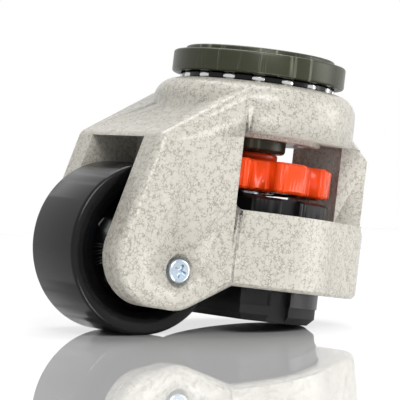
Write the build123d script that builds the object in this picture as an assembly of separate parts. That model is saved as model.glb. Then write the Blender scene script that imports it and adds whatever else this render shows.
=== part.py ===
from build123d import *
import math
import os

# Levelling castor: a swivelling nylon wheel beside a screw-down foot.
# Millimetres. The origin is the centre of the top mounting face, +Z is up along the swivel
# axis, and the wheel trails towards -X. A thumb dial in the side windows lowers the foot.

os.makedirs("parts", exist_ok=True)

# ---------------------------------------------------------------- driving dimensions
# Heights, stacked down from the mounting face
face_height = 1.6            # raised mounting face above the rim of the top plate
rim_height = 6.6             # rim of the top plate
bearing_gap = 2.0            # open gap between the top plate and the crown of the housing
crown_height = 15.0          # crown of the housing above the windows
window_height = 23.1         # side windows round the dial
band_height = 22.3           # band of the housing that guides the foot
axle_rise = 7.6              # wheel axle above the bottom of the band

# Top plate and swivel hub
plate_radius = 26.2
face_radius = 22.7
plate_edge = 0.8
hub_radius = 9.0
hub_neck_radius = 7.5
hub_neck_height = 3.5
thread_radius = 5.1          # wall of the M12 tapped hole
thread_depth = 11.0
screw_bore_radius = 5.6      # clearance bore for the lead screw inside the hub

# Swivel bearing
ball_radius = 2.8
ball_circle_radius = 20.8
ball_count = 16
race_inner_radius = 17.5
race_outer_radius = 23.8
race_height = 4.5
cage_height = 1.2
bush_wall = 2.4
bush_recess = 0.6
lock_ring_radius = 13.4
lock_ring_height = 3.2
washer_height = 0.5

# Housing
crown_radius = 30.7
crown_fillet = 6.5
band_radius = 30.2
band_ledge = 0.5             # the band stands proud of the body above it
nose_x = 36.6                # +X end of the housing
nose_half = 22.0             # half width of the blunt +X end
nose_radius = 14.0
nose_slope = 7.0             # sloping shoulder from the nose up to the crown
nose_drop = 21.2             # top of the shoulder below the mounting face
band_top_fillet = 3.2
band_bottom_fillet = 2.0
pillar_half = 12.7           # half width of the pillar between the windows
window_left_x = -18.8
window_corner = 2.0
chamber_radius = 28.2        # room round the dial
chamber_wall = 3.0
ceiling_boss_radius = 21.0
ceiling_boss_height = 1.2
pocket_radius = 14.4         # pocket in the crown for the lock ring and the thrust collar
pocket_depth = 8.5

# Fork
fork_gap = 29.0
arm_thickness = 9.8
arm_edge = 2.6
lobe_radius = 14.6           # big lobe, close to the wheel axle
lobe_dx = -1.7
lobe_dz = -1.8
screw_dx = 4.4               # axle lock screw, off the axle
screw_dz = -5.1
screw_lobe_radius = 11.6
roof_lip_x = -46.9
roof_lip_drop = 28.6         # below the mounting face
roof_end_x = -16.5
lip_radius = 3.4
roof_slope = 29.0            # degrees
lip_width = 3.2
lip_height = 2.2
lip_step = 0.9               # the underside of the roof rises behind the lip

# Wheel
wheel_offset = 39.6
wheel_radius = 25.0
wheel_width = 24.0
wheel_clearance = 2.0
tread_edge = 1.2
rim_inner_radius = 18.3
web_width = 8.0
wheel_hub_radius = 8.5
wheel_hub_length = 26.0
slot_radius = 14.0
slot_size = (2.4, 3.4)
slot_count = 4
slot_angle = 60.0
wheel_bush_wall = 1.6
axle_radius = 4.0
axle_socket_depth = 4.5
axle_washer_radius = 7.0

# Axle lock screws
screw_head_radius = 3.65
screw_head_height = 1.9
screw_shank_radius = 2.5
screw_recess_radius = 5.0
screw_recess_depth = 2.0
driver_slot = (4.0, 0.9, 1.1)    # length, width and depth of each arm of the cross

# Dial and lead screw
dial_radius = 25.5
dial_lobe_depth = 4.9
dial_lobe_fillet = 2.0
dial_root_fillet = 1.2
dial_height = 9.0
dial_drop = 7.6              # top of the dial below the top of the windows
dial_lobes = 8
dial_lobe_share = 0.56       # part of the pitch that a lobe takes
dial_edge = 1.3
dial_boss_radius = 8.7
dial_boss_height = 2.8
dial_dish_depth = 3.0
dial_dish_radius = 17.0
nut_across_flats = 13.0
nut_height = 9.6
journal_radius = 6.6
lead_screw_radius = 4.9
collar_radius = 10.8
collar_edge = 1.2
collar_plug_height = 2.0
clip_height = 1.0
clip_depth = 0.7
clip_width = 2.4
screw_head_flats = 17.0
screw_head_depth = 6.0

# Foot
foot_radius = 25.8
foot_height = 36.5
foot_drop = 1.7              # top of the foot below the dial
foot_flat_x = -12.4          # flat side that clears the wheel
foot_wall = 3.2
foot_top_wall = 6.0
foot_boss_radius = 13.0
foot_boss_depth = 8.0
foot_rib = 2.4
foot_rib_count = 6
foot_top_edge = 0.8
key_width = 7.0
key_depth = 2.2
key_rib_height = 15.0
sole_height = 5.0
sole_plug_height = 4.0
sole_edge = 2.0
stroke = 12.0

# Fits
running_fit = 0.05           # radial clearance of a shaft in its bush
sliding_fit = 0.4            # foot in the band
side_play = 0.3
axial_play = 0.2
press_gap = 0.01

reach = 60.0                 # cutters that leave the part run this far

# ---------------------------------------------------------------- derived levels
plate_under = -(face_height + rim_height)
crown_top = plate_under - bearing_gap
window_top = crown_top - crown_height
window_bottom = window_top - window_height
band_bottom = window_bottom - band_height
axle_z = band_bottom + axle_rise
axle_x = -wheel_offset
ball_z = (plate_under + crown_top) / 2
ceiling_z = window_top - ceiling_boss_height
nose_top = -nose_drop
pocket_top = ceiling_z + pocket_depth
hub_bottom = pocket_top - hub_neck_height - washer_height
dial_top = window_top - dial_drop
dial_bottom = dial_top - dial_height
boss_top = dial_top + dial_boss_height
foot_top = dial_bottom - foot_drop
foot_bottom = foot_top - foot_height
bore_radius = foot_radius + sliding_fit
bush_radius = hub_radius + running_fit + bush_wall
arm_inner = fork_gap / 2
arm_outer = arm_inner + arm_thickness
screw_x = axle_x + screw_dx
screw_z = axle_z + screw_dz
plug_top = ceiling_z + collar_plug_height
journal_top = plug_top + axial_play + clip_height + 0.6


def ring(outer, inner, bottom, top):
    """A flat ring about the swivel axis, between two levels."""
    section = Circle(outer) - Circle(inner)
    return Pos(0, 0, bottom) * extrude(section, top - bottom)


def rod(radius, bottom, top):
    """A plain cylinder about the swivel axis, between two levels."""
    return Pos(0, 0, bottom) * extrude(Circle(radius), top - bottom)


def across(sketch, half):
    """A profile drawn in X and Z, extruded to both sides of the middle plane."""
    return extrude(Plane.XZ * sketch, half, both=True)


def block(x0, x1, y0, y1, z0, z1):
    """A box between two opposite corners."""
    y0, y1 = sorted((y0, y1))
    return Pos((x0 + x1) / 2, (y0 + y1) / 2, (z0 + z1) / 2) * Box(x1 - x0, y1 - y0, z1 - z0)


def cross_rod(radius, y0, y1, x=axle_x, z=axle_z):
    """A cylinder along Y, by default on the wheel axle."""
    return Pos(x, y1, z) * Rot(90, 0, 0) * extrude(Circle(radius), y1 - y0)


def cross_ring(outer, inner, y0, y1):
    """A ring about the wheel axle."""
    return cross_rod(outer, y0, y1) - cross_rod(inner, y0 - 1, y1 + 1)


def mirror_y(shape):
    return mirror(shape, Plane.XZ)


def clip(shaft_radius, bottom, gap_angle=50):
    """An open snap ring seated in a groove of a shaft on the swivel axis."""
    root = shaft_radius - clip_depth
    body = ring(root + clip_width, root + press_gap, bottom, bottom + clip_height)
    mouth = 2 * (root + clip_width) * math.sin(math.radians(gap_angle / 2))
    far = root + 2 * clip_width
    return body - block(0, far, -mouth / 2, mouth / 2, bottom - 1, bottom + clip_height + 1)


def clip_groove(shaft_radius, bottom):
    root = shaft_radius - clip_depth
    return ring(shaft_radius + 1, root, bottom - 0.05, bottom + clip_height + 0.05)


# ---------------------------------------------------------------- top plate and swivel bearing
def make_top_plate():
    rim = rod(plate_radius, plate_under, -face_height)
    rim = fillet(rim.edges().filter_by(GeomType.CIRCLE), plate_edge)
    face = rod(face_radius, -face_height - 1, 0)
    face = fillet(face.edges().group_by(Axis.Z)[-1], plate_edge)
    hub = rod(hub_radius, pocket_top, plate_under + 1)
    neck = rod(hub_neck_radius, hub_bottom, pocket_top + 1)
    body = rim + face + hub + neck
    body -= rod(thread_radius, -thread_depth, 1)
    body -= rod(screw_bore_radius, hub_bottom - 1, -thread_depth)
    body -= Pos(0, 0, -1.0) * Cone(thread_radius, thread_radius + 1.0, 2.0)
    groove = Pos(0, 0, ball_z) * Torus(ball_circle_radius, ball_radius + running_fit)
    return body - groove


def make_race():
    outer = race_outer_radius - press_gap
    body = ring(outer, race_inner_radius + press_gap, crown_top - race_height, crown_top)
    return body - Pos(0, 0, ball_z) * Torus(ball_circle_radius, ball_radius + running_fit)


def ball_places():
    return PolarLocations(ball_circle_radius, ball_count, start_angle=360 / ball_count / 2)


def make_balls():
    return [Pos(0, 0, ball_z) * place * Sphere(ball_radius) for place in ball_places()]


def make_cage():
    bottom = ball_z - cage_height / 2
    body = ring(race_outer_radius - 0.8, race_inner_radius + 0.3, bottom, bottom + cage_height)
    for place in ball_places():
        body -= Pos(0, 0, ball_z) * place * Cylinder(ball_radius + 0.1, 2 * cage_height)
    return body


def make_swivel_bush():
    return ring(bush_radius - press_gap, hub_radius + running_fit, pocket_top + 0.1, crown_top - bush_recess)


def make_swivel_washer():
    return ring(lock_ring_radius - 0.4, hub_neck_radius + 0.1, pocket_top - washer_height, pocket_top - 0.1)


def make_lock_ring():
    top = pocket_top - washer_height - 0.1
    bottom = top - lock_ring_height
    body = ring(lock_ring_radius, hub_neck_radius + press_gap, bottom, top)
    for angle in range(0, 360, 90):
        notch = block(lock_ring_radius - 1.5, lock_ring_radius + 1, -1.2, 1.2, bottom - 1, top + 1)
        body -= Rot(0, 0, angle) * notch
    return body


# ---------------------------------------------------------------- housing
def fork_profile():
    """Side outline of the fork arms and roof, in X and Z, wrapped round its lobes."""
    slope = math.tan(math.radians(roof_slope))
    rise = (roof_end_x - roof_lip_x) * slope
    rounds = [
        (axle_x + lobe_dx, axle_z + lobe_dz, lobe_radius),
        (screw_x, screw_z, screw_lobe_radius),
        (roof_lip_x + lip_radius, -roof_lip_drop - lip_radius, lip_radius),
        (roof_end_x, rise - roof_lip_drop - lip_radius, lip_radius),
        (roof_end_x, band_bottom + lip_radius, lip_radius),
    ]
    edges = []
    for x, z, radius in rounds:
        edges += (Pos(x, z) * Circle(radius)).edges()
    return make_hull(edges)


def gap_profile():
    """Side outline of the space between the arms, in X and Z."""
    slope = math.tan(math.radians(roof_slope))
    far = axle_x - reach
    lip_under = -roof_lip_drop - lip_height
    inside_x = roof_lip_x + lip_width
    inside_z = lip_under + lip_step
    wall_x = -chamber_radius - chamber_wall
    deep_z = inside_z + (wall_x - inside_x) * slope
    upper = make_face(Polyline(
        (far, axle_z),
        (far, lip_under),
        (inside_x, lip_under),
        (inside_x, inside_z),
        (wall_x, deep_z),
        (wall_x, axle_z),
        close=True,
    ))
    sweep = Pos(axle_x, axle_z) * Circle(wheel_radius + wheel_clearance)
    right = axle_x + wheel_radius + wheel_clearance
    lower = Pos((far + right) / 2, axle_z - reach / 2) * Rectangle(right - far, reach)
    return upper + sweep + lower


def body_outline(shrink=0.0):
    """Plan of the housing: round about the swivel axis, drawn out to a blunt nose at +X."""
    corner_x = nose_x - nose_radius
    corner_y = nose_half - nose_radius
    edges = [*Circle(band_radius - shrink).edges()]
    for side in (-1, 1):
        edges += (Pos(corner_x, side * corner_y) * Circle(nose_radius - shrink)).edges()
    return make_hull(edges)


def make_housing():
    crown = rod(crown_radius, band_bottom + 1, crown_top)
    crown = fillet(crown.edges().group_by(Axis.Z)[-1], crown_fillet)
    nose = Pos(0, 0, window_bottom - 2) * extrude(body_outline(band_ledge), nose_top - window_bottom + 2)
    nose = chamfer(nose.edges().group_by(Axis.Z)[-1], nose_slope)
    band = Pos(0, 0, band_bottom) * extrude(body_outline(), band_height)
    band = fillet(band.edges().group_by(Axis.Z)[-1], band_top_fillet)
    band = fillet(band.edges().group_by(Axis.Z)[0], band_bottom_fillet)
    fork = across(fork_profile(), arm_outer)
    rims = fork.edges().filter_by(lambda e: abs(abs(e.center().Y) - arm_outer) < 0.01)
    fork = fillet(rims, arm_edge)
    body = crown + nose + band + fork

    chamber = rod(chamber_radius, window_bottom, window_top)
    body -= chamber
    for side in (-1, 1):
        window = block(window_left_x, reach, side * pillar_half, side * reach, window_bottom, window_top)
        corner = window.edges().filter_by(Axis.Y).group_by(Axis.X)[0]
        body -= fillet(corner, window_corner)
    body += rod(ceiling_boss_radius, ceiling_z, window_top + 1)

    body -= rod(bore_radius, band_bottom - 1, window_bottom + 1)
    body -= across(gap_profile(), arm_inner)
    body += key_ribs()
    body -= rod(pocket_radius, ceiling_z - 1, pocket_top)
    body -= rod(bush_radius, pocket_top - 1, crown_top + 1)
    body -= ring(race_outer_radius, race_inner_radius, crown_top - race_height, crown_top + 1)
    body -= axle_sockets()
    body -= lock_screw_holes()
    return body


def key_ribs():
    """Ribs inside the band that run in the keyways of the foot."""
    half = (key_width - 2 * side_play) / 2
    bottom = band_bottom + 0.6
    ribs = block(-half, half, -bore_radius - 1, bore_radius + 1, bottom, bottom + key_rib_height)
    inner = foot_radius - key_depth + side_play
    return ribs - rod(inner, bottom - 1, bottom + key_rib_height + 1)


def axle_sockets():
    """Slots in the inner faces of the arms. The axle slides up them, and the screws close them."""
    angle = math.degrees(math.atan2(screw_dz, screw_dx))
    radius = axle_radius + running_fit
    half = arm_inner + axle_socket_depth
    slot = Pos(reach / 2, 0) * Rectangle(reach, 2 * radius) + Circle(radius)
    return across(Pos(axle_x, axle_z) * Rot(0, 0, angle) * slot, half)


def lock_screw_holes():
    deep = arm_outer - screw_recess_depth
    near = cross_rod(screw_recess_radius, -arm_outer - 1, -deep, screw_x, screw_z)
    near += cross_rod(screw_shank_radius + press_gap, -arm_outer, -arm_inner, screw_x, screw_z)
    return near + mirror_y(near)


# ---------------------------------------------------------------- wheel
def make_wheel():
    half = wheel_width / 2
    body = cross_rod(wheel_radius, -half, half)
    body = fillet(body.edges().filter_by(GeomType.CIRCLE), tread_edge)
    for side in (-1, 1):
        face, web = side * (half + 1), side * web_width / 2
        low, high = min(face, web), max(face, web)
        body -= cross_ring(rim_inner_radius, wheel_hub_radius, low, high)
        step = side * (web_width / 2 + 2.0)
        body += cross_ring(slot_radius + 3.4, slot_radius + 2.2, min(web, step), max(web, step))
    hub_half = wheel_hub_length / 2
    body += cross_rod(wheel_hub_radius, -hub_half, hub_half)
    body -= cross_rod(axle_radius + wheel_bush_wall + running_fit, -reach, reach)
    for k in range(slot_count):
        angle = slot_angle + k * 360 / slot_count
        slot = Pos(slot_radius, 0) * Rectangle(*slot_size)
        body -= across(Pos(axle_x, axle_z) * Rot(0, 0, angle) * slot, wheel_width)
    return body


def make_wheel_bush():
    half = wheel_hub_length / 2
    bore = axle_radius + running_fit
    return cross_ring(bore + wheel_bush_wall - press_gap, bore, -half, half)


def make_axle():
    half = arm_inner + axle_socket_depth - 0.15
    body = cross_rod(axle_radius, -half, half)
    return chamfer(body.edges().filter_by(GeomType.CIRCLE), 0.5)


def make_axle_washers():
    start = wheel_hub_length / 2 + axial_play
    washer = cross_ring(axle_washer_radius, axle_radius + running_fit, start, arm_inner - axial_play)
    return [mirror_y(washer), washer]


def make_lock_screw(side):
    deep = arm_outer - screw_recess_depth
    head = cross_rod(screw_head_radius, -deep - screw_head_height, -deep, screw_x, screw_z)
    head = fillet(head.edges().filter_by(GeomType.CIRCLE).group_by(Axis.Y)[0], 0.9)
    length, width, depth = driver_slot
    top = -deep - screw_head_height
    for turn in (0, 90):
        arm = Pos(screw_x, top, screw_z) * Rot(0, turn + 20, 0) * Box(length, 2 * depth, width)
        head -= arm
    shank = cross_rod(screw_shank_radius, -deep - 0.5, -arm_inner - 0.5, screw_x, screw_z)
    body = head + shank
    return body if side < 0 else mirror_y(body)


# ---------------------------------------------------------------- dial and lead screw
def star_outline():
    """Lobed outline of the dial: blocks with flat crowns between round valleys."""
    pitch = 2 * math.pi / dial_lobes
    half = pitch * dial_lobe_share / 2
    lobe_half = dial_radius * math.sin(half)
    valley_radius = dial_radius - dial_lobe_depth
    outline = Circle(valley_radius)
    for k in range(dial_lobes):
        lobe = Pos(dial_radius / 2, 0) * Rectangle(dial_radius, 2 * lobe_half)
        outline += Rot(0, 0, math.degrees(k * pitch)) * lobe
    outline &= Circle(dial_radius)
    corners = outline.vertices()
    outer = [v for v in corners if math.hypot(v.X, v.Y) > dial_radius - 0.1]
    outline = fillet(outer, dial_lobe_fillet)
    root = [v for v in outline.vertices() if abs(math.hypot(v.X, v.Y) - valley_radius) < 0.05]
    return fillet(root, dial_root_fillet)


def make_dial():
    body = Pos(0, 0, dial_bottom) * extrude(star_outline(), dial_height)
    body = chamfer(body.edges().group_by(Axis.Z)[-1], dial_edge * 0.6)
    body = chamfer(body.edges().group_by(Axis.Z)[0], dial_edge * 0.6)
    boss = rod(dial_boss_radius, dial_top - 1, boss_top)
    body += fillet(boss.edges().group_by(Axis.Z)[-1], 0.8)
    body -= ring(dial_dish_radius, dial_boss_radius, dial_bottom - 1, dial_bottom + dial_dish_depth)
    hexagon = RegularPolygon(nut_across_flats / 2 + press_gap, 6, major_radius=False)
    body -= Pos(0, 0, boss_top - nut_height - 10) * extrude(hexagon, nut_height + 10)
    body -= rod(journal_radius, boss_top - 1, boss_top + 1)
    return body


def make_dial_nut():
    top = boss_top + 0.1
    hexagon = RegularPolygon(nut_across_flats / 2, 6, major_radius=False)
    body = Pos(0, 0, top - nut_height) * extrude(hexagon, nut_height)
    body += rod(journal_radius, top - 1, journal_top)
    body -= rod(lead_screw_radius + running_fit, top - nut_height - 1, journal_top + 1)
    return body - clip_groove(journal_radius, plug_top + axial_play)


def make_collar():
    nose = rod(collar_radius, boss_top + axial_play, ceiling_z + 0.5)
    nose = fillet(nose.edges().group_by(Axis.Z)[0], collar_edge)
    plug = rod(pocket_radius - press_gap, ceiling_z, plug_top)
    return nose + plug - rod(journal_radius + running_fit, boss_top - 1, plug_top + 1)


def make_lead_screw():
    top = -thread_depth - 0.8
    seat = foot_top - foot_top_wall
    body = chamfer(rod(lead_screw_radius, seat - 1, top).edges().group_by(Axis.Z)[-1], 1.0)
    head = RegularPolygon(screw_head_flats / 2, 6, major_radius=False)
    body += Pos(0, 0, seat - screw_head_depth) * extrude(head, screw_head_depth)
    return body - clip_groove(lead_screw_radius, foot_top + 0.1)


# ---------------------------------------------------------------- foot
def foot_outline(radius, flat_x):
    return Circle(radius) & Pos(flat_x + reach / 2, 0) * Rectangle(reach, reach)


def make_foot_shell():
    bottom = foot_bottom + sole_height
    body = Pos(0, 0, bottom) * extrude(foot_outline(foot_radius, foot_flat_x), foot_top - bottom)
    body = chamfer(body.edges().group_by(Axis.Z)[-1], foot_top_edge)
    cavity = foot_outline(foot_radius - foot_wall, foot_flat_x + foot_wall)
    ceiling = foot_top - foot_top_wall
    hollow = Pos(0, 0, bottom) * extrude(cavity, ceiling - bottom)
    boss = rod(foot_boss_radius, ceiling - foot_boss_depth, ceiling)
    ribs = []
    for k in range(foot_rib_count):
        rib = block(0, foot_radius, -foot_rib / 2, foot_rib / 2, ceiling - foot_boss_depth, ceiling)
        ribs.append(Rot(0, 0, k * 360 / foot_rib_count + 30) * rib)
    for web in (boss, *ribs):
        hollow -= web
    body -= hollow
    for side in (-1, 1):
        edge = side * (foot_radius - key_depth)
        body -= block(-key_width / 2, key_width / 2, edge, side * reach, bottom - 1, foot_top + 1)
    head = RegularPolygon(screw_head_flats / 2 + press_gap, 6, major_radius=False)
    body -= Pos(0, 0, ceiling - foot_boss_depth - 1) * extrude(head, foot_boss_depth + 1)
    return body - rod(lead_screw_radius + 0.1, ceiling - 1, foot_top + 1)


def make_foot_sole():
    outline = foot_outline(foot_radius - 0.4, foot_flat_x + 0.4)
    pad = Pos(0, 0, foot_bottom) * extrude(outline, sole_height)
    pad = chamfer(pad.edges().group_by(Axis.Z)[0], sole_edge)
    plug_outline = foot_outline(foot_radius - foot_wall - 0.05, foot_flat_x + foot_wall + 0.05)
    plug = Pos(0, 0, foot_bottom + sole_height - 0.5) * extrude(plug_outline, sole_plug_height + 0.5)
    body = pad + plug
    for side in (-1, 1):
        edge = side * (foot_radius - key_depth)
        body -= block(-key_width / 2, key_width / 2, edge, side * 40, foot_bottom - 1, foot_top)
    return body


# ---------------------------------------------------------------- write one STEP per piece
def write(name, *solids):
    shape = solids[0] if len(solids) == 1 else Compound(children=list(solids))
    export_step(shape, f"parts/{name}.step")


write("top_plate", make_top_plate())
write("swivel_lock_ring", make_lock_ring())
write("swivel_washer", make_swivel_washer())
write("swivel_bush", make_swivel_bush())
write("bearing_race", make_race())
write("bearing_balls", *make_balls())
write("ball_cage", make_cage())
write("housing", make_housing())
write("wheel", make_wheel())
write("wheel_bush", make_wheel_bush())
write("wheel_axle", make_axle())
write("axle_washers", *make_axle_washers())
write("axle_lock_screw_near", make_lock_screw(-1))
write("axle_lock_screw_far", make_lock_screw(1))
write("thumb_dial", make_dial())
write("dial_nut", make_dial_nut())
write("dial_nut_clip", clip(journal_radius, plug_top + axial_play))
write("thrust_collar", make_collar())
write("lead_screw", make_lead_screw())
write("lead_screw_clip", clip(lead_screw_radius, foot_top + 0.1))
write("foot_shell", make_foot_shell())
write("foot_sole", make_foot_sole())
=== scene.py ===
"""Levelling castor: finishes, smooth shells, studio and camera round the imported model."""

import logging
import math
from dataclasses import dataclass
from enum import Enum

import bpy
from mathutils import Matrix, Vector


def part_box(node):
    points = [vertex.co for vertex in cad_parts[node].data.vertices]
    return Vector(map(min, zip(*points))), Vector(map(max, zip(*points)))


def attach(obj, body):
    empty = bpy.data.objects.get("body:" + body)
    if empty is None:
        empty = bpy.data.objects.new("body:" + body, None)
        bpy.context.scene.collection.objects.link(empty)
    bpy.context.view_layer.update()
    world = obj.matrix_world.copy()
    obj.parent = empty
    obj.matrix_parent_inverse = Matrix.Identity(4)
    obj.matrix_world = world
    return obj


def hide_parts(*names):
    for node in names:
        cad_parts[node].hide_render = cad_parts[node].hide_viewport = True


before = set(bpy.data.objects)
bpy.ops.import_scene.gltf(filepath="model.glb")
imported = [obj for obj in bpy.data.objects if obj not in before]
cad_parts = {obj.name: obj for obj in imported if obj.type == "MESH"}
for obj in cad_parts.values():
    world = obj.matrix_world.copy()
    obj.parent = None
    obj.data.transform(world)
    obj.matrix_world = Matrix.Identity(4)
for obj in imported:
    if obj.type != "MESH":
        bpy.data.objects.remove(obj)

LOG = logging.getLogger("levelling_castor")
MM = 0.001
SMOOTH_ANGLE = math.radians(32.0)
MERGE_REACH = 1e-6

Colour = tuple[float, float, float]


class Body(Enum):
    """Rigid bodies of the castor that pieces ride on."""

    HEAD = "swivel_head"
    FORK = "fork"
    WHEEL = "wheel"
    DIAL = "dial"
    FOOT = "foot"


class Slot(Enum):
    """Material slot names that the smooth shells carry; their finish is passed in from the finish of
    the node they copy.
    """

    PLATE = "plate_finish"
    HOUSING = "housing_paint"
    WHEEL = "wheel_nylon"
    DIAL = "dial_plastic"
    FOOT = "foot_nylon"


def mm(*values: float) -> Vector:
    """Give a place in metres.

    Args:
        values: Three coordinates in millimetres.

    Returns:
        The place in metres.
    """
    return Vector(values) * MM


# ---------------------------------------------------------------- node helpers
class NodeTree:
    """A short way to lay out shader nodes in a material or a node group."""

    def __init__(self, tree: bpy.types.NodeTree) -> None:
        """Start on an empty tree.

        Args:
            tree: The node tree to fill.
        """
        self.tree = tree
        tree.nodes.clear()

    def add(self, kind: str, **settings: object) -> bpy.types.Node:
        """Add one node.

        Args:
            kind: Node type without its ShaderNode prefix.
            settings: Attributes to set on the node.

        Returns:
            The new node.
        """
        prefix = "" if kind.startswith("Node") else "ShaderNode"
        node = self.tree.nodes.new(prefix + kind)
        for name, value in settings.items():
            setattr(node, name, value)
        return node

    def join(self, source: bpy.types.NodeSocket, target: bpy.types.NodeSocket) -> None:
        """Link an output (source) to an input (target)."""
        self.tree.links.new(source, target)

    def math(self, operation: str, first: object, second: object = 0.0) -> bpy.types.NodeSocket:
        """Add a math node fed by sockets or plain numbers.

        Args:
            operation: Name of the math operation.
            first: Socket or number.
            second: Socket or number.

        Returns:
            The result socket.
        """
        node = self.add("Math", operation=operation)
        for slot, value in zip(node.inputs, (first, second)):
            if isinstance(value, bpy.types.NodeSocket):
                self.join(value, slot)
            else:
                slot.default_value = value
        return node.outputs[0]

    def ramp(
        self, source: bpy.types.NodeSocket, stops: list[tuple[float, Colour]]
    ) -> bpy.types.NodeSocket:
        """Add a colour ramp.

        Args:
            source: Value that picks the colour.
            stops: Places and RGB colours.

        Returns:
            The colour socket.
        """
        node = self.add("ValToRGB")
        cells = node.color_ramp.elements
        while len(cells) < len(stops):
            cells.new(0.5)
        for cell, (place, colour) in zip(cells, stops):
            cell.position = place
            cell.color = (*colour, 1.0)
        self.join(source, node.inputs["Fac"])
        return node.outputs["Color"]

    def noise(
        self,
        place: bpy.types.NodeSocket,
        scale: float,
        detail: float = 2.0,
        rough: float = 0.5,
    ) -> bpy.types.NodeSocket:
        """Add a noise texture.

        Args:
            place: Coordinates to read the noise at.
            scale: Cells to a metre.
            detail: Octaves of finer noise.
            rough: Strength of the finer octaves.

        Returns:
            The noise value's socket.
        """
        node = self.add("TexNoise")
        node.inputs["Scale"].default_value = scale
        node.inputs["Detail"].default_value = detail
        node.inputs["Roughness"].default_value = rough
        self.join(place, node.inputs["Vector"])
        return node.outputs["Fac"]

    def remap(
        self,
        source: bpy.types.NodeSocket,
        given: tuple[float, float] = (0.0, 1.0),
        wanted: tuple[float, float] = (0.0, 1.0),
    ) -> bpy.types.NodeSocket:
        """Stretch a value from one range to another, clamped at its ends.

        Args:
            source: Value to stretch.
            given: Range that is read.
            wanted: Range that is put out.

        Returns:
            The stretched value's socket.
        """
        node = self.add("MapRange")
        node.inputs["From Min"].default_value, node.inputs["From Max"].default_value = given
        node.inputs["To Min"].default_value, node.inputs["To Max"].default_value = wanted
        self.join(source, node.inputs["Value"])
        return node.outputs["Result"]

    def blend(
        self,
        share: bpy.types.NodeSocket,
        below: bpy.types.NodeSocket | Colour,
        above: Colour,
    ) -> bpy.types.NodeSocket:
        """Lay one colour over another where a mask says.

        Args:
            share: Mask of the upper colour.
            below: Socket or colour underneath.
            above: Colour on top.

        Returns:
            The mixed colour's socket.
        """
        node = self.add("Mix", data_type="RGBA")
        self.join(share, node.inputs["Factor"])
        if isinstance(below, bpy.types.NodeSocket):
            self.join(below, node.inputs["A"])
        else:
            node.inputs["A"].default_value = (*below, 1.0)
        node.inputs["B"].default_value = (*above, 1.0)
        return node.outputs["Result"]

    def bump(self, height: bpy.types.NodeSocket, depth: float) -> bpy.types.NodeSocket:
        """Raise a surface by a height pattern of a given depth in metres."""
        node = self.add("Bump")
        node.inputs["Distance"].default_value = depth
        self.join(height, node.inputs["Height"])
        return node.outputs["Normal"]


def new_material(name: str) -> tuple[bpy.types.Material, NodeTree, bpy.types.Node]:
    """Make a material that holds one joined-up Principled shader.

    Args:
        name: Name of the material.

    Returns:
        The material, its node layout and its shader.
    """
    material = bpy.data.materials.new(name)
    material.use_nodes = True
    layout = NodeTree(material.node_tree)
    shader = layout.add("BsdfPrincipled")
    output = layout.add("OutputMaterial")
    layout.join(shader.outputs["BSDF"], output.inputs["Surface"])
    return material, layout, shader


def new_group(
    name: str, inputs: dict[str, float], outputs: dict[str, str]
) -> tuple[NodeTree, bpy.types.Node, bpy.types.Node]:
    """Make an empty shader node group with named sockets.

    Args:
        name: Name of the group.
        inputs: Float inputs and their default values.
        outputs: Output names and their socket types.

    Returns:
        The node layout, the group's input node and its output node.
    """
    tree = bpy.data.node_groups.new(name, "ShaderNodeTree")
    for label, value in inputs.items():
        socket = tree.interface.new_socket(label, in_out="INPUT", socket_type="NodeSocketFloat")
        socket.default_value = value
    for label, kind in outputs.items():
        tree.interface.new_socket(label, in_out="OUTPUT", socket_type=kind)
    layout = NodeTree(tree)
    return layout, layout.add("NodeGroupInput"), layout.add("NodeGroupOutput")


class Effects:
    """Shader node groups that more than one finish uses."""

    patch_scale = 120.0
    scuff_scale = 180.0
    scuff_size = 0.05
    scuff_patch_scale = 60.0
    scuff_patch_level = 0.62

    def __init__(self) -> None:
        """Build every shared effect once."""
        self.grain = self._grain()
        self.scuffs = self._scuffs()

    def _grain(self) -> bpy.types.NodeTree:
        """Fine surface grain: a height and a mask that vary over the piece.

        Returns:
            The node group.
        """
        outputs = {"Height": "NodeSocketFloat", "Mask": "NodeSocketFloat"}
        layout, given, out = new_group("surface_grain", {"Scale": 900.0}, outputs)
        place = layout.add("TexCoord").outputs["Object"]
        noise = layout.add("TexNoise")
        noise.inputs["Detail"].default_value = 3.0
        layout.join(place, noise.inputs["Vector"])
        layout.join(given.outputs["Scale"], noise.inputs["Scale"])
        layout.join(noise.outputs["Fac"], out.inputs["Height"])
        layout.join(layout.noise(place, self.patch_scale), out.inputs["Mask"])
        return layout.tree

    def _scuffs(self) -> bpy.types.NodeTree:
        """Sparse small scuffs and dust specks on black plastic.

        Returns:
            The node group.
        """
        layout, given, out = new_group("scuffs", {"Amount": 0.5}, {"Mask": "NodeSocketFloat"})
        place = layout.add("TexCoord").outputs["Object"]
        cells = layout.add("TexVoronoi", feature="F1")
        cells.inputs["Scale"].default_value = self.scuff_scale
        layout.join(place, cells.inputs["Vector"])
        spot = layout.math("LESS_THAN", cells.outputs["Distance"], self.scuff_size)
        spread = layout.noise(place, self.scuff_patch_scale)
        patch = layout.math("GREATER_THAN", spread, self.scuff_patch_level)
        mask = layout.math("MULTIPLY", layout.math("MULTIPLY", spot, patch), given.outputs["Amount"])
        layout.join(mask, out.inputs["Mask"])
        return layout.tree


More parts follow.
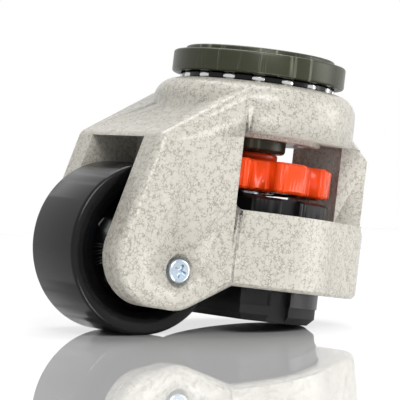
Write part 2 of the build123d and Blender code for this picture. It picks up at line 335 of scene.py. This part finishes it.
# ---------------------------------------------------------------- finishes
@dataclass(frozen=True)
class Finish:
    """A finish of one colour, with fine grain in its gloss, its shade and its surface, and painted
    highlight streaks where asked.
    """

    name: str
    colour: Colour
    rough: float = 0.5
    rough_spread: float = 0.08
    metallic: float = 0.0
    grain_scale: float = 900.0
    grain_height: float = 0.00002
    shade: float = 0.12
    scuff: float = 0.0
    scuff_colour: Colour = (0.5, 0.5, 0.5)
    gloss: float = 0.5
    # painted highlight: bright upright streaks laid into the base colour stand for reflections
    highlight_streak: float = 0.0
    highlight_streak_colour: Colour = (0.30, 0.31, 0.24)
    highlight_streak_scale: float = 520.0
    highlight_streak_squeeze: float = 0.05

    def build(self, effects: Effects) -> bpy.types.Material:
        """Make the material.

        Args:
            effects: Shared node groups.

        Returns:
            The finished material.
        """
        material, layout, shader = new_material(self.name)
        shader.inputs["Metallic"].default_value = self.metallic
        shader.inputs["Specular IOR Level"].default_value = self.gloss
        grain = layout.add("Group", node_tree=effects.grain)
        grain.inputs["Scale"].default_value = self.grain_scale
        dark = tuple(part * (1 - self.shade) for part in self.colour)
        colour = layout.ramp(grain.outputs["Mask"], [(0.35, dark), (0.65, self.colour)])
        if self.scuff:
            scuffs = layout.add("Group", node_tree=effects.scuffs)
            scuffs.inputs["Amount"].default_value = self.scuff
            colour = layout.blend(scuffs.outputs["Mask"], colour, self.scuff_colour)
        # painted highlight streaks go into the colour itself
        if self.highlight_streak:
            colour = self._painted_highlight_streaks(layout, colour)
        layout.join(colour, shader.inputs["Base Color"])
        gloss_range = (self.rough - self.rough_spread, self.rough + self.rough_spread)
        rough = layout.remap(grain.outputs["Mask"], wanted=gloss_range)
        layout.join(rough, shader.inputs["Roughness"])
        layout.join(layout.bump(grain.outputs["Height"], self.grain_height), shader.inputs["Normal"])
        return material

    def _painted_highlight_streaks(self, layout: NodeTree, colour: bpy.types.NodeSocket) -> bpy.types.NodeSocket:
        """Lay painted highlight streaks over a colour: bright upright lines that stand for the
        reflections on a turned rim.

        Args:
            layout: The material's nodes.
            colour: The colour below the streaks.

        Returns:
            The streaked colour.
        """
        tall = layout.add("VectorMath", operation="MULTIPLY")
        tall.inputs[1].default_value = (1.0, 1.0, self.highlight_streak_squeeze)
        layout.join(layout.add("TexCoord").outputs["Object"], tall.inputs[0])
        highlight_lines = layout.noise(tall.outputs["Vector"], self.highlight_streak_scale, detail=3.0, rough=0.6)
        share = layout.remap(highlight_lines, given=(0.58, 0.74), wanted=(0.0, self.highlight_streak))
        return layout.blend(share, colour, self.highlight_streak_colour)


@dataclass(frozen=True)
class SpecklePaint:
    """Pale hammer paint with fine dark worm-like flecks over an orange-peel surface."""

    name: str = "speckle_paint"
    pale: Colour = (0.47, 0.45, 0.40)
    fleck: Colour = (0.24, 0.22, 0.18)
    fleck_scale: float = 1050.0
    fleck_width: float = 0.15
    wander_scale: float = 1100.0
    wander: float = 0.0011
    break_scale: float = 760.0
    break_range: tuple[float, float] = (0.42, 0.54)
    rough_range: tuple[float, float] = (0.21, 0.35)
    peel_scale: float = 330.0
    peel: float = 0.00035

    def build(self, effects: Effects) -> bpy.types.Material:
        """Make the material.

        Args:
            effects: Shared node groups.

        Returns:
            The finished material.
        """
        material, layout, shader = new_material(self.name)
        colour = layout.blend(self._flecks(layout), self.pale, self.fleck)
        layout.join(colour, shader.inputs["Base Color"])
        grain = layout.add("Group", node_tree=effects.grain)
        grain.inputs["Scale"].default_value = self.peel_scale
        rough = layout.remap(grain.outputs["Mask"], wanted=self.rough_range)
        layout.join(rough, shader.inputs["Roughness"])
        layout.join(layout.bump(grain.outputs["Height"], self.peel), shader.inputs["Normal"])
        return material

    def _flecks(self, layout: NodeTree) -> bpy.types.NodeSocket:
        """Draw wandering lines between cells and break them up.

        Args:
            layout: The material's nodes.

        Returns:
            The mask of the flecks.
        """
        place = layout.add("TexCoord").outputs["Object"]
        bend = layout.add("TexNoise")
        bend.inputs["Scale"].default_value = self.wander_scale
        layout.join(place, bend.inputs["Vector"])
        shift = layout.add("VectorMath", operation="SCALE")
        shift.inputs["Scale"].default_value = self.wander
        layout.join(bend.outputs["Color"], shift.inputs[0])
        bent = layout.add("VectorMath", operation="ADD")
        layout.join(place, bent.inputs[0])
        layout.join(shift.outputs["Vector"], bent.inputs[1])
        cells = layout.add("TexVoronoi", feature="DISTANCE_TO_EDGE")
        cells.inputs["Scale"].default_value = self.fleck_scale
        layout.join(bent.outputs["Vector"], cells.inputs["Vector"])
        seams = layout.remap(cells.outputs["Distance"], (0.0, self.fleck_width), (1.0, 0.0))
        breaks = layout.remap(layout.noise(place, self.break_scale), self.break_range)
        return layout.math("MULTIPLY", seams, breaks)


class Finishes:
    """Every finish of the castor, and which carried-over node takes which."""

    def __init__(self, effects: Effects) -> None:
        """Build the materials.

        Args:
            effects: Shared node groups.
        """
        self.paint = SpecklePaint().build(effects)
        # the olive finish carries painted highlight streaks in its colour
        self.olive = Finish(
            "olive_steel", (0.030, 0.032, 0.016), rough=0.34, rough_spread=0.06, metallic=0.25,
            grain_scale=1500.0, grain_height=0.00001, gloss=0.35, highlight_streak=0.55,
        ).build(effects)
        self.nylon = Finish(
            "black_nylon", (0.0030, 0.0030, 0.0034), rough=0.22, rough_spread=0.05,
            scuff=0.3, gloss=0.22,
        ).build(effects)
        self.foot = Finish(
            "foot_nylon", (0.0035, 0.0035, 0.0040), rough=0.34, rough_spread=0.06, gloss=0.22,
        ).build(effects)
        self.rubber = Finish(
            "sole_rubber", (0.004, 0.004, 0.004), rough=0.60, gloss=0.25,
        ).build(effects)
        self.orange = Finish(
            "dial_nylon", (0.78, 0.062, 0.006), rough=0.24, rough_spread=0.05, gloss=0.3,
        ).build(effects)
        self.zinc = Finish(
            "zinc_plate", (0.52, 0.60, 0.68), rough=0.26, rough_spread=0.06, metallic=1.0,
        ).build(effects)
        self.steel = Finish(
            "ball_steel", (0.62, 0.62, 0.62), rough=0.16, rough_spread=0.04, metallic=1.0,
        ).build(effects)
        self.dark = Finish(
            "dark_steel", (0.035, 0.030, 0.026), rough=0.34, rough_spread=0.06, metallic=0.6,
        ).build(effects)
        self.bronze = Finish(
            "bush_bronze", (0.45, 0.28, 0.10), rough=0.35, rough_spread=0.06, metallic=1.0,
        ).build(effects)

    def by_node(self) -> dict[str, bpy.types.Material]:
        """Name the finish of each carried-over node."""
        return {
            "housing": self.paint,
            "top_plate": self.olive,
            "thrust_collar": self.olive,
            "swivel_lock_ring": self.dark,
            "swivel_washer": self.zinc,
            "swivel_bush": self.bronze,
            "bearing_race": self.dark,
            "bearing_balls": self.steel,
            "ball_cage": self.nylon,
            "wheel": self.nylon,
            "wheel_bush": self.bronze,
            "wheel_axle": self.zinc,
            "axle_washers": self.zinc,
            "axle_lock_screw_near": self.zinc,
            "axle_lock_screw_far": self.zinc,
            "thumb_dial": self.orange,
            "dial_nut": self.dark,
            "dial_nut_clip": self.dark,
            "lead_screw": self.zinc,
            "lead_screw_clip": self.dark,
            "foot_shell": self.foot,
            "foot_sole": self.rubber,
        }

    def dress_nodes(self) -> None:
        """Give every carried-over node its finish."""
        for name, material in self.by_node().items():
            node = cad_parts[name]
            for spot in node.material_slots:
                spot.material = material
            LOG.info("dressed %s in %s", name, material.name)


# ---------------------------------------------------------------- smooth shells
@dataclass(frozen=True)
class SmoothShell:
    """A moulded or turned part of the castor, shaded smooth between its true edges."""

    node: str
    body: Body
    slot: Slot

    def build(self, material: bpy.types.Material) -> bpy.types.Object:
        """Copy the part's shape, join its loose facets and shade it smooth.

        Args:
            material: The part's finish.

        Returns:
            The piece that stands for the part.
        """
        bpy.ops.object.select_all(action="DESELECT")
        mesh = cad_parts[self.node].data.copy()
        piece = bpy.data.objects.new(f"{self.node}_shell", mesh)
        bpy.context.collection.objects.link(piece)
        piece.select_set(True)
        bpy.context.view_layer.objects.active = piece
        bpy.ops.object.mode_set(mode="EDIT")
        bpy.ops.mesh.select_all(action="SELECT")
        bpy.ops.mesh.remove_doubles(threshold=MERGE_REACH)
        bpy.ops.object.mode_set(mode="OBJECT")
        bpy.ops.object.shade_smooth_by_angle(angle=SMOOTH_ANGLE)
        mesh.materials.clear()
        mesh.materials.append(material)
        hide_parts(self.node)
        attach(piece, self.body.value)
        LOG.info("smoothed %s", self.node)
        return piece


SHELLS = (
    SmoothShell("housing", Body.FORK, Slot.HOUSING),
    SmoothShell("top_plate", Body.HEAD, Slot.PLATE),
    SmoothShell("wheel", Body.WHEEL, Slot.WHEEL),
    SmoothShell("thumb_dial", Body.DIAL, Slot.DIAL),
    SmoothShell("foot_shell", Body.FOOT, Slot.FOOT),
)


# ---------------------------------------------------------------- studio
@dataclass
class Studio:
    """White floor, pale surround, soft lamps and the camera."""

    wheel_radius: float = 0.025
    sole_edge: float = 0.0012
    floor_reach: float = 0.45
    mirror_share: float = 0.72
    mirror_rough: float = 0.015
    floor_colour: Colour = (0.95, 0.95, 0.95)
    fill_strength: float = 0.38

    def rest_plane(self) -> tuple[Vector, Vector]:
        """Work out the floor that touches the wheel and the far edge of the sole.

        Returns:
            A point on the floor and its upward normal.
        """
        low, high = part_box("wheel")
        hub = (low + high) / 2
        sole_low, sole_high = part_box("foot_sole")
        toe = Vector((sole_high.x - self.sole_edge, 0.0, sole_low.z))
        across, down = toe.x - hub.x, hub.z - toe.z
        tilt = math.asin(self.wheel_radius / math.hypot(across, down)) - math.atan2(down, across)
        normal = Vector((-math.sin(tilt), 0.0, math.cos(tilt)))
        return hub - normal * self.wheel_radius, normal

    def build_floor(self) -> None:
        """Lay a white glossy floor that fades into a white surround."""
        point, normal = self.rest_plane()
        bpy.ops.object.select_all(action="DESELECT")
        bpy.ops.mesh.primitive_plane_add(size=2 * self.floor_reach)
        floor = bpy.context.object
        floor.name = "studio_floor"
        turn = Vector((0, 0, 1)).rotation_difference(normal).to_matrix().to_4x4()
        floor.data.transform(Matrix.Translation(point) @ turn)
        floor.data.materials.append(self._floor_material())
        LOG.info("floor laid")

    def _floor_material(self) -> bpy.types.Material:
        """Polished white acrylic: a mirror layer over a bright matt white.

        Returns:
            The floor's material.
        """
        material = bpy.data.materials.new("studio_white")
        material.use_nodes = True
        layout = NodeTree(material.node_tree)
        output = layout.add("OutputMaterial")
        matt = layout.add("BsdfDiffuse")
        matt.inputs["Color"].default_value = (*self.floor_colour, 1.0)
        mirror = layout.add("BsdfGlossy")
        mirror.inputs["Color"].default_value = (1.0, 1.0, 1.0, 1.0)
        mirror.inputs["Roughness"].default_value = self.mirror_rough
        layers = layout.add("MixShader")
        layers.inputs["Fac"].default_value = self.mirror_share
        layout.join(matt.outputs["BSDF"], layers.inputs[1])
        layout.join(mirror.outputs["BSDF"], layers.inputs[2])
        layout.join(layers.outputs["Shader"], output.inputs["Surface"])
        return material

    def build_world(self) -> None:
        """Light the surround evenly and show it white to the camera, in mirrors and through glass."""
        world = bpy.data.worlds.new("studio_surround")
        bpy.context.scene.world = world
        world.use_nodes = True
        layout = NodeTree(world.node_tree)
        output = layout.add("OutputWorld")
        seen = layout.add("Background")
        seen.inputs["Color"].default_value = (1.0, 1.0, 1.0, 1.0)
        seen.inputs["Strength"].default_value = 1.0
        fill = layout.add("Background")
        fill.inputs["Color"].default_value = (1.0, 1.0, 1.0, 1.0)
        fill.inputs["Strength"].default_value = self.fill_strength
        path = layout.add("LightPath")
        rays = [path.outputs[f"Is {kind} Ray"] for kind in ("Camera", "Transmission", "Glossy")]
        either = layout.math("MAXIMUM", layout.math("MAXIMUM", rays[0], rays[1]), rays[2])
        mix = layout.add("MixShader")
        layout.join(either, mix.inputs["Fac"])
        layout.join(fill.outputs["Background"], mix.inputs[1])
        layout.join(seen.outputs["Background"], mix.inputs[2])
        layout.join(mix.outputs["Shader"], output.inputs["Surface"])

    @staticmethod
    def add_lamp(name: str, place: Vector, target: Vector, width: float, power: float) -> None:
        """Hang a soft square lamp.

        Args:
            name: Name of the lamp.
            place: Where it hangs.
            target: What it points at.
            width: Side of its face in metres.
            power: Power in watts.
        """
        bpy.ops.object.light_add(type="AREA", location=place)
        lamp = bpy.context.object
        lamp.name = name
        lamp.data.size = width
        lamp.data.energy = power
        lamp.rotation_mode = "QUATERNION"
        lamp.rotation_quaternion = (target - place).to_track_quat("-Z", "Y")

    def build_lamps(self) -> None:
        """Hang the key, fill and top lamps."""
        middle = mm(-10, 0, -45)
        self.add_lamp("key_lamp", middle + Vector((-0.35, -0.75, 0.55)), middle, 0.5, 7.0)
        self.add_lamp("fill_lamp", middle + Vector((0.75, -0.45, 0.25)), middle, 0.5, 3.0)
        self.add_lamp("top_lamp", middle + Vector((0.05, 0.2, 0.8)), middle, 0.6, 5.0)

    def build_camera(self) -> None:
        """Set the long lens at the height of the castor, rolled to level its floor."""
        place = mm(-405.6, -598.2, -67.25)
        azimuth, pitch, roll = (math.radians(a) for a in (33.1, 1.68, 6.79))
        level_reach = math.cos(pitch)
        ahead = Vector(
            (math.sin(azimuth) * level_reach, math.cos(azimuth) * level_reach, math.sin(pitch))
        )
        level = Vector((math.cos(azimuth), -math.sin(azimuth), 0.0))
        upright = level.cross(ahead)
        right = level * math.cos(roll) + upright * math.sin(roll)
        up = upright * math.cos(roll) - level * math.sin(roll)
        bpy.ops.object.camera_add(location=place)
        camera = bpy.context.object
        camera.name = "main_camera"
        camera.rotation_mode = "QUATERNION"
        camera.rotation_quaternion = Matrix((right, up, -ahead)).transposed().to_quaternion()
        camera.data.sensor_width = 36.0
        camera.data.lens = 214.7
        camera.data.clip_start = 0.05
        camera.data.clip_end = 20.0
        bpy.context.scene.camera = camera
        LOG.info("camera set")

    def build(self) -> None:
        """Build the whole studio."""
        bpy.context.scene.view_settings.view_transform = "Standard"
        self.build_floor()
        self.build_world()
        self.build_lamps()
        self.build_camera()


def main() -> None:
    """Build every group in order and report it."""
    logging.basicConfig(level=logging.INFO, format="%(name)s: %(message)s")
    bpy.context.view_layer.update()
    effects = Effects()
    finishes = Finishes(effects)
    finishes.dress_nodes()
    for shell in SHELLS:
        shell.build(finishes.by_node()[shell.node])
    Studio().build()


if __name__ == "__main__":
    main()
